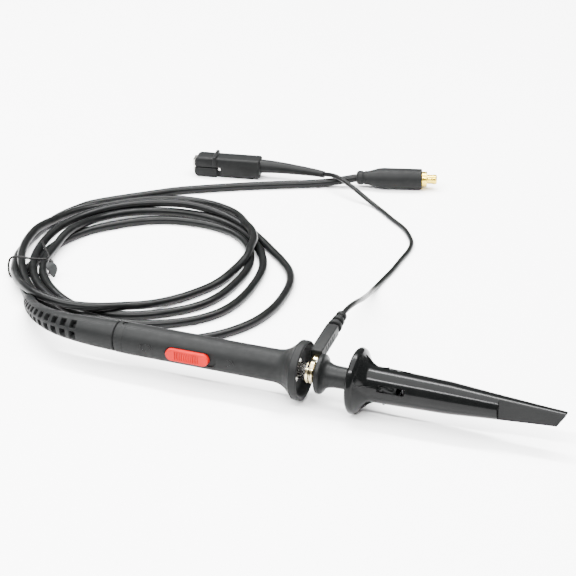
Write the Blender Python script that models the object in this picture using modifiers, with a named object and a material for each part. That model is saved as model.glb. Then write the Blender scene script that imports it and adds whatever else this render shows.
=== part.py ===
"""Passive oscilloscope probe with a sprung hook tip, a ground lead and a coiled coax cable.

Frame: +X runs along the probe towards its tip, +Z is up, and the table is z = 0.
Lengths in this script are in millimetres, and the helpers below turn them into metres.
Most pieces are placed in the probe frame: its X axis is the probe's centre line, and its
origin is the middle of the finger guard.
"""
import math

import bmesh
import bpy
from mathutils import Matrix, Vector

MM = 0.001
GAP = 0.3                 # clearance between neighbouring pieces
ROUND_STEPS = 28          # facets around a visible round piece
SMALL_STEPS = 16          # facets around a small or hidden one

# Driving dimensions, in the probe frame
GRIP_RADIUS = 5.5
BORE_RADIUS = 4.4
GUARD_RADIUS = 10.15
GUARD_HALF_WIDTH = 1.5
SEAM_X = -66.5            # joint between the grip and its strain relief
HOOK_FLANGE_RADIUS = 11.2
HOOK_FLANGE_X = 18.0
HOOK_TIP_X = 89.9
TIP_RADIUS = 2.6
TABLE_Z = -HOOK_FLANGE_RADIUS
COAX_RADIUS = 1.6
LEAD_RADIUS = 0.9
COAX_Z = TABLE_Z + COAX_RADIUS
LEAD_Z = TABLE_Z + LEAD_RADIUS

# Switch
SLIDER_LENGTH = 15.6
SLIDER_WIDTH = 4.4
SLIDER_X = -39.0
SLIDER_TRAVEL = 2.4

# Trimmer capacitor, reached through a hole in the far side of the grip
TRIMMER_X = -24.0

# Strain relief: centre line and radius from the seam to its thin end
BOOT_PATH = [
    (SEAM_X - 0.2, 0, 0, 5.3),
    (-74, 0, 0, 5.0),
    (-82, 0.3, 0, 4.5),
    (-90, 2.2, -0.6, 4.0),
    (-98, 6.0, -2.0, 3.5),
    (-106, 12.4, -4.3, 3.0),
    (-112.4, 20.0, -6.9, 2.6),
    (-116.9, 27.0, -8.6, 2.3),
]
BOOT_SLOT_ROWS = 6
BOOT_SLOT_STATIONS = 7
BOOT_SLOT_FIRST = 15.0    # along the centre line, from the seam
BOOT_SLOT_PITCH = 5.2

# Coil of coax: an oval band that lies on the table behind the grip
COIL_X = -92.0
COIL_Y = 76.0
COIL_HEIGHT = 6.2
COIL_INNER = [34.5, 37.0, 31.5, 28.8, 31.0, 37.0, 40.5, 34.0]     # every 45 degrees
COIL_OUTER = [60.8, 50.5, 56.5, 54.5, 49.0, 48.5, 56.0, 69.5]
COIL_SECTIONS = 48
TIE_ANGLE = 216.0

# Free stretches of coax and of ground lead
COAX_START_PATH = [(-117.2, 27.6, -8.8), (-118.6, 30.4, COAX_Z), (-119.9, 33.2, COAX_Z)]
COAX_TAIL_PATH = [
    (-111.6, 130.6, COAX_Z),
    (-105, 136.0, COAX_Z),
    (-97, 141.0, COAX_Z),
    (-83, 149.0, COAX_Z),
    (-70, 155.6, COAX_Z),
    (-58, 161.2, -9.5),
    (-50, 164.8, -9.0),
    (-44, 167.2, -7.9),
    (-40.4, 168.5, -7.2),
]
LEAD_PATH = [
    (3.65, 29.95, 7.3),
    (4.0, 34.5, 7.3),
    (4.2, 41, 6.1),
    (3.5, 50, 3.0),
    (1.4, 60, -1.2),
    (-1.2, 71, -6.0),
    (-2.9, 82, -9.4),
    (-2.7, 92, LEAD_Z),
    (-2.0, 100, LEAD_Z),
    (-1.8, 109, LEAD_Z),
    (-1.5, 119, LEAD_Z),
    (-2.6, 125.5, LEAD_Z),
    (-5.4, 131, LEAD_Z),
    (-9.6, 136.8, LEAD_Z),
    (-16.3, 142.9, LEAD_Z),
    (-24, 150.2, LEAD_Z),
    (-29.8, 154.0, -9.2),
    (-35.3, 156.2, -7.0),
    (-41.2, 159.3, -5.4),
    (-47.0, 162.7, -5.0),
    (-52.5, 165.9, -6.4),
]

# Plug and ground clip, each on its own local axis
PLUG_START = (-40.1, 168.7, -7.0)
PLUG_ANGLE = 17.5
PLUG_FLANGE_X = 28.4
CLIP_PIVOT = (-93.2, 160.9, -7.0)
CLIP_ANGLE = 10.5
CLIP_WIDTH = 7.2
CLIP_MOUTH_X = -13.2
CLIP_REAR_X = 14.0
CLIP_TOP_Z = 4.3
CLIP_TAIL_PATH = [(11, 0, 1.0), (20, 0.2, 0.9), (30, 0, 0.4), (37, -0.9, 0.2), (40.4, -2.2, 0.3)]

# The frame's origin: middle of the probe's own bounding box, on the table
LEAD_BOOT_END_Y = 29.7
ORIGIN_X = (HOOK_TIP_X + BOOT_PATH[-1][0] - BOOT_PATH[-1][3] * 0.84) / 2
ORIGIN_Y = (LEAD_BOOT_END_Y - HOOK_FLANGE_RADIUS) / 2


# ---------------------------------------------------------------- helpers

def clear_scene():
    for item in list(bpy.data.objects):
        bpy.data.objects.remove(item, do_unlink=True)


def make_collection(name):
    collection = bpy.data.collections.new(name)
    bpy.context.scene.collection.children.link(collection)
    return collection


def make_material(name, colour, roughness, metallic=0.0):
    material = bpy.data.materials.new(name)
    material.use_nodes = True
    shader = material.node_tree.nodes["Principled BSDF"]
    shader.inputs["Base Color"].default_value = (*colour, 1.0)
    shader.inputs["Roughness"].default_value = roughness
    shader.inputs["Metallic"].default_value = metallic
    return material


def add_part(name, data, material, parent):
    part = bpy.data.objects.new(name, data)
    PARTS.objects.link(part)
    part.parent = parent
    if hasattr(data, "materials"):
        data.materials.append(material)
    return part


def add_cutter(name, data, parent):
    cutter = bpy.data.objects.new(name, data)
    CUTTERS.objects.link(cutter)
    cutter.parent = parent
    cutter.hide_render = True
    cutter.display_type = "WIRE"
    return cutter


def turned_profile(outer, inner):
    """Closed outline of a turned piece: the outer side top to bottom, then the bore."""
    points = [(radius, x) for x, radius in reversed(outer)]
    if inner:
        points += [(radius, x) for x, radius in inner]
    mesh = bpy.data.meshes.new("profile")
    count = len(points)
    edges = [(i, i + 1) for i in range(count - 1)]
    if inner:
        edges.append((count - 1, 0))
    mesh.from_pydata([(r * MM, 0, x * MM) for r, x in points], edges, [])
    return mesh


def turned(name, outer, inner, material, parent, steps=ROUND_STEPS, cutter=False):
    """A piece turned about its parent's X axis; outer and inner are (x, radius) lists."""
    if not inner:
        outer = [(outer[0][0], 0.0), *outer, (outer[-1][0], 0.0)]
    mesh = turned_profile(outer, inner)
    part = add_cutter(name, mesh, parent) if cutter else add_part(name, mesh, material, parent)
    part.rotation_euler = (0, math.pi / 2, 0)
    screw = part.modifiers.new("turn", "SCREW")
    screw.axis = "Z"
    screw.angle = 2 * math.pi
    screw.steps = steps
    screw.render_steps = steps
    screw.use_merge_vertices = True
    screw.merge_threshold = 0.00001
    screw.use_smooth_shade = True
    return part


def box_mesh(size, shift=(0, 0, 0)):
    bm = bmesh.new()
    scale = Matrix.Diagonal((size[0] * MM, size[1] * MM, size[2] * MM, 1))
    bmesh.ops.create_cube(bm, size=1.0, matrix=Matrix.Translation(Vector(shift) * MM) @ scale)
    mesh = bpy.data.meshes.new("box")
    bm.to_mesh(mesh)
    bm.free()
    return mesh


def box(name, size, centre, material, parent, bevel=0.0):
    part = add_part(name, box_mesh(size), material, parent)
    part.location = Vector(centre) * MM
    if bevel:
        edge = part.modifiers.new("edge", "BEVEL")
        edge.width = bevel * MM
        edge.segments = 1
    return part


def box_cutter(name, size, centre, parent):
    cutter = add_cutter(name, box_mesh(size), parent)
    cutter.location = Vector(centre) * MM
    return cutter


def cylinder_mesh(radius, length, steps=SMALL_STEPS):
    bm = bmesh.new()
    bmesh.ops.create_cone(
        bm, cap_ends=True, segments=steps, radius1=radius * MM, radius2=radius * MM,
        depth=length * MM)
    mesh = bpy.data.meshes.new("cylinder")
    bm.to_mesh(mesh)
    bm.free()
    return mesh


def lie_along(part, axis):
    """Turn a cylinder from its Z axis to the X or Y axis."""
    part.rotation_euler = (0, math.pi / 2, 0) if axis == "X" else (math.pi / 2, 0, 0)


def slab_mesh(outline, thickness):
    """Slab with an outline of (x, z) points, centred on Y."""
    bm = bmesh.new()
    corners = [bm.verts.new((x * MM, thickness / 2 * MM, z * MM)) for x, z in outline]
    face = bm.faces.new(corners)
    pushed = bmesh.ops.extrude_face_region(bm, geom=[face])
    moved = [v for v in pushed["geom"] if isinstance(v, bmesh.types.BMVert)]
    bmesh.ops.translate(bm, verts=moved, vec=(0, -thickness * MM, 0))
    bmesh.ops.recalc_face_normals(bm, faces=bm.faces)
    mesh = bpy.data.meshes.new("slab")
    bm.to_mesh(mesh)
    bm.free()
    return mesh


def stadium_mesh(length, width, thickness):
    """Flat bar with round ends, lying in the XZ plane and centred on Y."""
    half = (length - width) / 2
    bend = 8
    outline = []
    for side in (1, -1):
        for i in range(bend + 1):
            turn = math.pi * i / bend - math.pi / 2
            x = side * (half + width / 2 * math.cos(turn))
            z = side * width / 2 * math.sin(turn)
            outline.append((x, z))
    return slab_mesh(outline, thickness)


def cut(part, *cutters, operation="DIFFERENCE"):
    for cutter in cutters:
        boolean = part.modifiers.new("cut", "BOOLEAN")
        boolean.operation = operation
        boolean.object = cutter


def smooth_path(points, spacing):
    """Points about one spacing apart on a smooth curve through a list of points."""
    points = [Vector(p) for p in points]
    padded = [2 * points[0] - points[1], *points, 2 * points[-1] - points[-2]]
    dense = []
    for a, b, c, d in zip(padded, padded[1:], padded[2:], padded[3:]):
        for i in range(20):
            t = i / 20
            dense.append(0.5 * (2 * b + (c - a) * t + (2 * a - 5 * b + 4 * c - d) * t ** 2
                                + (3 * b - 3 * c + d - a) * t ** 3))
    dense.append(points[-1])
    travelled = [0.0]
    for a, b in zip(dense, dense[1:]):
        travelled.append(travelled[-1] + (b - a).length)
    count = max(2, round(travelled[-1] / spacing))
    path = []
    step = 0
    for i in range(count + 1):
        wanted = travelled[-1] * i / count
        while step < len(dense) - 2 and travelled[step + 1] < wanted:
            step += 1
        share = (wanted - travelled[step]) / (travelled[step + 1] - travelled[step])
        path.append(dense[step].lerp(dense[step + 1], share))
    return path


def lying_path(points, spacing, radius):
    """Smooth path of a cord that never dips into the table."""
    path = smooth_path(points, spacing)
    for point in path:
        point.z = max(point.z, TABLE_Z + radius)
    return path


def tube_curve(points, radius, radii=None):
    curve = bpy.data.curves.new("tube", "CURVE")
    curve.dimensions = "3D"
    curve.bevel_depth = radius * MM
    curve.bevel_resolution = 2
    curve.use_fill_caps = True
    spline = curve.splines.new("POLY")
    spline.points.add(len(points) - 1)
    for i, point in enumerate(points):
        spline.points[i].co = (point[0] * MM, point[1] * MM, point[2] * MM, 1.0)
        spline.points[i].radius = radii[i] / radius if radii else 1.0
    return curve


def tube(name, points, radius, material, parent):
    return add_part(name, tube_curve(points, radius), material, parent)


def curve_to_mesh(curve):
    """A closed mesh with the shape of a curve's tube, its loose caps welded on."""
    guide = bpy.data.objects.new("guide", curve)
    CUTTERS.objects.link(guide)
    depsgraph = bpy.context.evaluated_depsgraph_get()
    mesh = bpy.data.meshes.new_from_object(guide.evaluated_get(depsgraph))
    bpy.data.objects.remove(guide, do_unlink=True)
    bm = bmesh.new()
    bm.from_mesh(mesh)
    bmesh.ops.remove_doubles(bm, verts=bm.verts, dist=0.000001)
    bmesh.ops.recalc_face_normals(bm, faces=bm.faces)
    bm.to_mesh(mesh)
    bm.free()
    return mesh


def frame_at(name, place, angle, parent):
    empty = bpy.data.objects.new(name, None)
    PARTS.objects.link(empty)
    empty.parent = parent
    empty.location = Vector(place) * MM
    empty.rotation_euler = (0, 0, math.radians(angle))
    return empty


# ---------------------------------------------------------------- grip and its insides

def make_grip():
    """Turned handle with the finger guard, a window for the switch and a trimmer hole."""
    outer = [
        (SEAM_X + 3.4, GRIP_RADIUS - 0.1),
        (SEAM_X + 3.8, GRIP_RADIUS),
        (-8.0, GRIP_RADIUS + 0.1),
        (-5.0, 6.4),
        (-2.6, 8.4),
        (-GUARD_HALF_WIDTH, 9.7),
        (-0.9, GUARD_RADIUS),
        (0.9, GUARD_RADIUS),
        (GUARD_HALF_WIDTH, 9.7),
    ]
    inner = [
        (SEAM_X + 3.4, BORE_RADIUS),
        (-9.0, BORE_RADIUS),
        (-8.6, 3.2),
        (-3.4, 3.2),
        (-3.0, 4.6),
        (-1.6, 7.6),
        (GUARD_HALF_WIDTH, 8.9),
    ]
    grip = turned("grip_shell", outer, inner, BLACK_GRIP, PROBE)
    window_length = SLIDER_LENGTH + SLIDER_TRAVEL + 2 * GAP
    window = add_cutter(
        "switch_window", stadium_mesh(window_length, SLIDER_WIDTH + 2 * GAP, 8.0), PROBE)
    window.location = Vector((SLIDER_X + SLIDER_TRAVEL / 2, -7.0, 0)) * MM
    trimmer_hole = add_cutter("trimmer_hole", cylinder_mesh(1.3, 6.0), PROBE)
    trimmer_hole.location = Vector((TRIMMER_X, 6.0, 0)) * MM
    lie_along(trimmer_hole, "Y")
    cut(grip, window, trimmer_hole)


def make_rear_collar():
    outer = [
        (SEAM_X + 0.2, 5.0),
        (SEAM_X + 0.6, GRIP_RADIUS - 0.1),
        (SEAM_X + 3.1, GRIP_RADIUS - 0.1),
    ]
    inner = [(SEAM_X + 0.2, 3.4), (SEAM_X + 3.1, 3.4)]
    collar = turned("rear_collar", outer, inner, BLACK_RUBBER, PROBE)
    notch = box_cutter("collar_notch", (1.6, 2.0, 1.2), (SEAM_X + 2.6, 0, GRIP_RADIUS), PROBE)
    cut(collar, notch)


def make_switch():
    """Red thumb slider, the carrier under it, and the contact block that it wipes."""
    thickness = 2.4
    outside = GRIP_RADIUS + 0.7
    slider = add_part(
        "attenuator_slider", stadium_mesh(SLIDER_LENGTH, SLIDER_WIDTH, thickness), RED_PLASTIC,
        PROBE)
    slider.location = Vector((SLIDER_X, -outside + thickness / 2, 0)) * MM
    groove_count = 9
    groove_pitch = 1.1
    grooves = bmesh.new()
    for i in range(groove_count):
        x = (i - (groove_count - 1) / 2) * groove_pitch
        scale = Matrix.Diagonal((0.4 * MM, 0.5 * MM, 3.2 * MM, 1))
        bmesh.ops.create_cube(
            grooves, size=1.0, matrix=Matrix.Translation(Vector((x, 0, 0)) * MM) @ scale)
    mesh = bpy.data.meshes.new("grooves")
    grooves.to_mesh(mesh)
    grooves.free()
    groove_cutter = add_cutter("slider_grooves", mesh, PROBE)
    groove_cutter.location = Vector((SLIDER_X, -outside, 0)) * MM
    cut(slider, groove_cutter)
    box("slider_carrier", (7.0, 1.4, 3.0), (SLIDER_X, -2.8, 0), WHITE_PLASTIC, PROBE)
    box("switch_contacts", (11.0, 0.9, 3.6), (SLIDER_X + SLIDER_TRAVEL / 2, -1.2, 0), BRASS,
        PROBE)


def make_circuit():
    """Circuit board in the grip, with the divider resistor and the trimmer on it."""
    board_length = 46.0
    box("circuit_board", (board_length, 1.0, 6.6), (-34.0, 0.2, 0), GREEN_BOARD, PROBE)
    resistor = turned(
        "divider_resistor",
        [(-18.6, 0.7), (-18.2, 0.95), (-12.4, 0.95), (-12.0, 0.7)], [], TAN_CERAMIC, PROBE,
        steps=SMALL_STEPS)
    resistor.location = Vector((0, -1.6, 0)) * MM
    box("shunt_capacitor", (2.0, 1.2, 1.4), (-50.8, 1.7, 0), TAN_CERAMIC, PROBE)
    body = box("trimmer_body", (4.2, 1.5, 4.2), (TRIMMER_X, 1.8, 0), WHITE_PLASTIC, PROBE)
    seat = add_cutter("trimmer_seat", cylinder_mesh(1.5, 1.6), PROBE)
    seat.location = Vector((TRIMMER_X, 2.9, 0)) * MM
    lie_along(seat, "Y")
    cut(body, seat)
    rotor = add_part("trimmer_rotor", cylinder_mesh(1.2, 1.1), BRASS, PROBE)
    rotor.location = Vector((TRIMMER_X, 2.95, 0)) * MM
    lie_along(rotor, "Y")
    slot = box_cutter("trimmer_slot", (1.8, 0.8, 0.4), (TRIMMER_X, 3.5, 0), PROBE)
    cut(rotor, slot)


def make_nose():
    """Metal barrel that carries the ground ring, with the needle insulated inside it."""
    turned(
        "ground_barrel",
        [(-8.2, 2.9), (-3.2, 2.9), (-3.0, 3.9), (-1.4, 3.9), (-1.2, 2.8), (14.4, 2.8),
         (15.0, 2.5)],
        [(-8.2, 2.2), (15.0, 2.2)], NICKEL, PROBE)
    turned(
        "nose_insulator",
        [(-7.6, 1.9), (15.6, 1.9), (16.6, 1.3)],
        [(-7.6, 0.85), (16.6, 0.85)], WHITE_PLASTIC, PROBE, steps=SMALL_STEPS)
    turned(
        "probe_needle",
        [(-10.4, 0.5), (20.6, 0.5), (22.2, 0.1)], [], NICKEL, PROBE, steps=SMALL_STEPS)


def make_cable_entry():
    """Crimp ferrule in the strain relief, and the signal wire on to the board."""
    turned(
        "crimp_ferrule",
        [(-72.0, 2.7), (-63.6, 2.7), (-63.4, 3.1), (-62.0, 3.1)],
        [(-72.0, 1.9), (-62.0, 1.9)], BRASS, PROBE, steps=SMALL_STEPS)
    turned(
        "signal_wire", [(-71.4, 0.9), (-60.4, 0.9), (-60.2, 0.3), (-57.4, 0.3)], [], COPPER,
        PROBE, steps=SMALL_STEPS)


def boot_stations():
    """Centre points, directions and radii along the strain relief."""
    path = smooth_path([p[:3] for p in BOOT_PATH], 2.6)
    travelled = [0.0]
    for a, b in zip(BOOT_PATH, BOOT_PATH[1:]):
        travelled.append(travelled[-1] + (Vector(b[:3]) - Vector(a[:3])).length)
    radii = []
    for i in range(len(path)):
        wanted = travelled[-1] * i / (len(path) - 1)
        leg = max(k for k in range(len(travelled) - 1) if travelled[k] <= wanted + 0.001)
        share = (wanted - travelled[leg]) / (travelled[leg + 1] - travelled[leg])
        radii.append(BOOT_PATH[leg][3] * (1 - share) + BOOT_PATH[leg + 1][3] * share)
    return path, radii


def make_boot_slots(path, radii):
    """Rows of little boxes around the strain relief, joined in one cutting mesh."""
    bm = bmesh.new()
    spacing = (path[1] - path[0]).length
    for station in range(BOOT_SLOT_STATIONS):
        along = BOOT_SLOT_FIRST + station * BOOT_SLOT_PITCH
        index = min(len(path) - 2, int(along / spacing))
        centre = path[index].lerp(path[index + 1], along / spacing - index)
        forward = (path[index + 1] - path[index]).normalized()
        radius = radii[index]
        up = (Vector((0, 0, 1)) - forward * forward.z).normalized()
        side = forward.cross(up)
        for row in range(BOOT_SLOT_ROWS):
            turn = 2 * math.pi * (row + 0.5) / BOOT_SLOT_ROWS
            outward = up * math.sin(turn) + side * math.cos(turn)
            around = outward.cross(forward)
            axes = Matrix((forward, outward, around)).transposed().to_4x4()
            place = Matrix.Translation((centre + outward * radius) * MM)
            size = Matrix.Diagonal((2.2 * MM, 1.6 * MM, radius * 0.62 * MM, 1))
            bmesh.ops.create_cube(bm, size=1.0, matrix=place @ axes @ size)
    bmesh.ops.recalc_face_normals(bm, faces=bm.faces)
    mesh = bpy.data.meshes.new("boot_slots")
    bm.to_mesh(mesh)
    bm.free()
    return add_cutter("boot_slots", mesh, PROBE)


def make_strain_relief():
    path, radii = boot_stations()
    boot = add_part("strain_relief_boot", curve_to_mesh(tube_curve(path, 1.0, radii)),
                    BLACK_RUBBER, PROBE)
    socket = turned(
        "boot_socket", [(-73.0, 3.1), (SEAM_X + 2.0, 3.1)], [], None, PROBE,
        steps=SMALL_STEPS, cutter=True)
    cut(boot, make_boot_slots(path, radii), socket)


# ---------------------------------------------------------------- hook tip

def make_hook_barrel():
    """Inner barrel: small rear flange, thin neck, and the tube that guides the sleeve."""
    outer = [
        (5.9, 6.3),
        (6.4, 6.75),
        (7.4, 6.75),
        (8.0, 6.3),
        (8.9, 5.0),
        (10.2, 4.1),
        (12.0, 3.75),
        (31.0, 3.6),
    ]
    inner = [(5.9, 3.1), (16.4, 3.1), (17.0, 1.9), (31.0, 1.9)]
    turned("hook_inner_barrel", outer, inner, BLACK_RUBBER, HOOK)


def make_hook_sleeve():
    """Outer sleeve with the pull flange, four latch windows and a flat bladed end."""
    outer = [
        (HOOK_FLANGE_X, 10.6),
        (HOOK_FLANGE_X + 0.6, HOOK_FLANGE_RADIUS),
        (HOOK_FLANGE_X + 2.0, HOOK_FLANGE_RADIUS),
        (HOOK_FLANGE_X + 2.6, 10.7),
        (22.2, 8.0),
        (24.1, 6.1),
        (34.0, 5.85),
        (51.0, 5.35),
        (64.4, 4.3),
        (81.0, 3.15),
        (HOOK_TIP_X, TIP_RADIUS),
    ]
    inner = [
        (HOOK_FLANGE_X, 6.2),
        (HOOK_FLANGE_X + 1.8, 4.2),
        (55.0, 4.0),
        (56.0, 0.9),
        (HOOK_TIP_X, 0.9),
    ]
    sleeve = turned("hook_sleeve", outer, inner, GLOSS_BLACK, SLEEVE)
    half_blade = 1.7
    blade_start = 67.7
    cutters = []
    for side in (1, -1):
        cutters.append(box_cutter(
            f"blade_side_{side}", (26, 4, 12), (blade_start + 13, side * (half_blade + 2), 0),
            SLEEVE))
    slot_length = 8.6
    cutters.append(box_cutter(
        "hook_slot", (slot_length, 1.5, 5.0), (HOOK_TIP_X - slot_length / 2 + 0.5, 0, -1.6),
        SLEEVE))
    slant = math.radians(32.4)
    end_size = 8.0
    end_x = HOOK_TIP_X + end_size / 2 / math.cos(slant) - TIP_RADIUS * math.tan(slant)
    end = box_cutter("slanted_end", (end_size, end_size, 2 * end_size), (end_x, 0, 0), SLEEVE)
    end.rotation_euler = (0, slant, 0)
    cutters.append(end)
    for i in range(4):
        turn = math.radians(17 + 90 * i)
        window = box_cutter(
            f"latch_window_{i}", (3.0, 5.0, 2.3),
            (35.6, -6.0 * math.cos(turn), 6.0 * math.sin(turn)), SLEEVE)
        window.rotation_euler = (-turn, 0, 0)
        cutters.append(window)
    cut(sleeve, *cutters)


def make_hook_wire():
    """Spring-steel hook, the socket that grips the needle, and the return spring."""
    turned(
        "hook_socket",
        [(17.6, 1.55), (29.4, 1.55), (29.8, 1.2)],
        [(17.6, 0.85), (26.0, 0.85), (26.2, 0.5), (29.8, 0.5)],
        BRASS, HOOK, steps=SMALL_STEPS)
    bend = [
        (83.4 + 1.0 * math.sin(t), 0, 1.0 * math.cos(t) - 1.0)
        for t in [math.pi * i / 8 for i in range(1, 8)]
    ]
    points = [(30.2, 0, 0), (48, 0, 0), (66, 0, 0), (83.4, 0, 0), *bend, (82.8, 0, -2.0)]
    tube("hook_wire", points, 0.35, NICKEL, HOOK)
    turns = 8
    points_per_turn = 8
    spring_start = 31.6
    spring_end = 54.4
    spring = []
    for i in range(turns * points_per_turn + 1):
        t = i / (turns * points_per_turn)
        turn = 2 * math.pi * turns * t
        spring.append((spring_start + (spring_end - spring_start) * t,
                       2.7 * math.cos(turn), 2.7 * math.sin(turn)))
    tube("hook_spring", spring, 0.25, STEEL, HOOK)


# ---------------------------------------------------------------- ground lead

def make_ground_ring():
    """Open spring ring on the barrel, with a tail that runs back into its boot."""
    ring = turned(
        "ground_ring_clip",
        [(2.4, 3.5), (2.6, 3.7), (4.6, 3.7), (4.8, 3.5)],
        [(2.4, 3.1), (4.8, 3.1)], GOLD, PROBE, steps=SMALL_STEPS)
    opening = box_cutter("ring_opening", (4, 2.4, 3), (3.6, -1.0, -4.0), PROBE)
    tail = box_cutter("ring_tail", (1.6, 6.6, 0.5), (3.6, 3.6, 3.45), PROBE)
    cut(ring, opening)
    cut(ring, tail, operation="UNION")


def make_lead_boot():
    """Moulded block on the ring's tail, with three ribs that hold the lead."""
    tilt = math.radians(6)
    length = 16.0
    start = Vector((3.65, 3.9, 4.6))
    direction = Vector((0, math.cos(tilt), math.sin(tilt)))
    middle = start + direction * (length / 2)
    boot = box("ground_lead_boot", (3.6, length, 3.6), middle, BLACK_RUBBER, PROBE, bevel=0.5)
    boot.rotation_euler = (tilt, 0, 0)
    pocket = box_cutter("tail_pocket", (2.2, 8.0, 1.1), (3.6, 3.6, 3.45), PROBE)
    cut(boot, pocket)
    outline = []
    for i in range(3):
        x = length - 0.4 + 3.4 * i
        rib = 2.4 - 0.3 * i
        outline += [(x, 1.4), (x + 1.6, 1.4), (x + 1.7, rib), (x + 3.3, rib)]
    outline.append((outline[-1][0] + 0.1, 1.4))
    ribs = turned("lead_boot_ribs", outline, [], None, PROBE, steps=SMALL_STEPS, cutter=True)
    ribs.location = start * MM
    ribs.rotation_euler = (-math.pi / 2 + tilt, 0, 0)
    cut(boot, ribs, operation="UNION")


# ---------------------------------------------------------------- coax and its plug

def band_radius(values, angle):
    """Smooth radius at any angle from one value at every 45 degrees."""
    place = (angle / 45.0) % 8
    index = int(place)
    t = place - index
    a, b, c, d = (values[(index + k) % 8] for k in (-1, 0, 1, 2))
    return 0.5 * (2 * b + (c - a) * t + (2 * a - 5 * b + 4 * c - d) * t ** 2
                  + (3 * b - 3 * c + d - a) * t ** 3)


def make_coil():
    """Closed band in the outer shape of the coiled coax, waisted under its tie."""
    bm = bmesh.new()
    rings = []
    for i in range(COIL_SECTIONS):
        angle = 360.0 * i / COIL_SECTIONS
        away = abs((angle - TIE_ANGLE + 180) % 360 - 180)
        pinch = max(0.0, 1 - away / 12.0)
        inner = band_radius(COIL_INNER, angle) + 1.2 * pinch
        outer = band_radius(COIL_OUTER, angle) - 1.2 * pinch
        low = TABLE_Z + 1.3 * pinch
        high = TABLE_Z + COIL_HEIGHT - 0.8 * pinch
        edge = 1.2
        section = [
            (inner, low + edge), (inner + edge, low), (outer - edge, low), (outer, low + edge),
            (outer, high - edge), (outer - edge, high), (inner + edge, high),
            (inner, high - edge)]
        turn = math.radians(angle)
        rings.append([
            bm.verts.new(((COIL_X + r * math.cos(turn)) * MM, (COIL_Y + r * math.sin(turn)) * MM,
                          z * MM))
            for r, z in section])
    for ring, following in zip(rings, rings[1:] + rings[:1]):
        for k in range(len(ring)):
            after = (k + 1) % len(ring)
            bm.faces.new((ring[k], following[k], following[after], ring[after]))
    bmesh.ops.recalc_face_normals(bm, faces=bm.faces)
    mesh = bpy.data.meshes.new("coax_coil")
    bm.to_mesh(mesh)
    bm.free()
    add_part("coax_coil", mesh, BLACK_CABLE, PROBE)


def make_coil_tie():
    """Twist tie: one wire round the coil's waist, with both ends standing up."""
    turn = math.radians(TIE_ANGLE)
    outward = Vector((math.cos(turn), math.sin(turn), 0))
    along = Vector((-math.sin(turn), math.cos(turn), 0))
    centre = Vector((COIL_X, COIL_Y, 0))
    inner = band_radius(COIL_INNER, TIE_ANGLE)
    outer = band_radius(COIL_OUTER, TIE_ANGLE)
    low = TABLE_Z + 0.45
    high = TABLE_Z + COIL_HEIGHT + 0.4
    loop = [
        (inner - 0.9, high + 5.2, 2.0), (inner - 0.6, high + 1.8, 0.9), (inner + 2.2, high, 0.4),
        ((inner + outer) / 2, high + 0.3, 0.3), (outer - 1.6, high - 0.2, 0.2),
        (outer + 0.5, (low + high) / 2, 0), (outer - 1.2, low, -0.1),
        ((inner + outer) / 2, low, -0.2), (inner + 1.4, low, -0.3),
        (inner - 0.5, (low + high) / 2, -0.6), (inner - 0.9, high + 0.9, -0.9),
        (inner - 2.4, high + 1.6, -3.2)]
    points = [centre + outward * r + along * s + Vector((0, 0, z)) for r, z, s in loop]
    wire_radius = 0.4
    tube("coil_tie", lying_path(points, 2.4, wire_radius), wire_radius, BLACK_CABLE, PROBE)


def make_coax():
    start = lying_path(COAX_START_PATH, 4.0, COAX_RADIUS)
    tail = lying_path(COAX_TAIL_PATH, 7.0, COAX_RADIUS)
    tube("coax_start", start, COAX_RADIUS, BLACK_CABLE, PROBE)
    tube("coax_tail", tail, COAX_RADIUS, BLACK_CABLE, PROBE)


def make_plug():
    """Overmoulded push-on coaxial plug."""
    plug = frame_at("plug_frame", PLUG_START, PLUG_ANGLE, PROBE)
    outer = [
        (0.0, 1.9), (0.9, 2.8), (2.6, 2.85), (2.8, 2.55), (3.2, 2.55), (3.4, 2.8), (4.6, 2.7),
        (6.6, 3.3), (8.8, 3.95), (11.0, 4.2), (26.2, 4.1), (26.5, 3.9)]
    inner = [(0.0, 1.4), (24.2, 1.4), (24.4, 3.3), (26.5, 3.4)]
    turned("plug_overmould", outer, inner, BLACK_RUBBER, plug)
    turned(
        "plug_body",
        [(12.0, 1.1), (24.4, 1.1), (24.5, 3.0), (PLUG_FLANGE_X, 3.0),
         (PLUG_FLANGE_X, 1.8), (30.6, 1.8), (31.2, 1.95), (31.8, 1.95), (32.4, 1.6)],
        [(12.0, 0.7), (24.6, 0.7), (24.8, 1.35), (32.4, 1.35)], GOLD, plug, steps=24)
    turned("plug_insulator", [(25.2, 1.05), (30.4, 1.05)], [(25.2, 0.6), (30.4, 0.6)],
           WHITE_PLASTIC, plug, steps=SMALL_STEPS)
    turned("plug_pin", [(13.0, 0.3), (31.4, 0.3), (31.9, 0.15)], [], GOLD, plug,
           steps=SMALL_STEPS)


def make_ground_lead():
    path = lying_path(LEAD_PATH, 4.2, LEAD_RADIUS)
    tube("ground_lead", path, LEAD_RADIUS, BLACK_CABLE, PROBE)


# ---------------------------------------------------------------- ground clip

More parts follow.
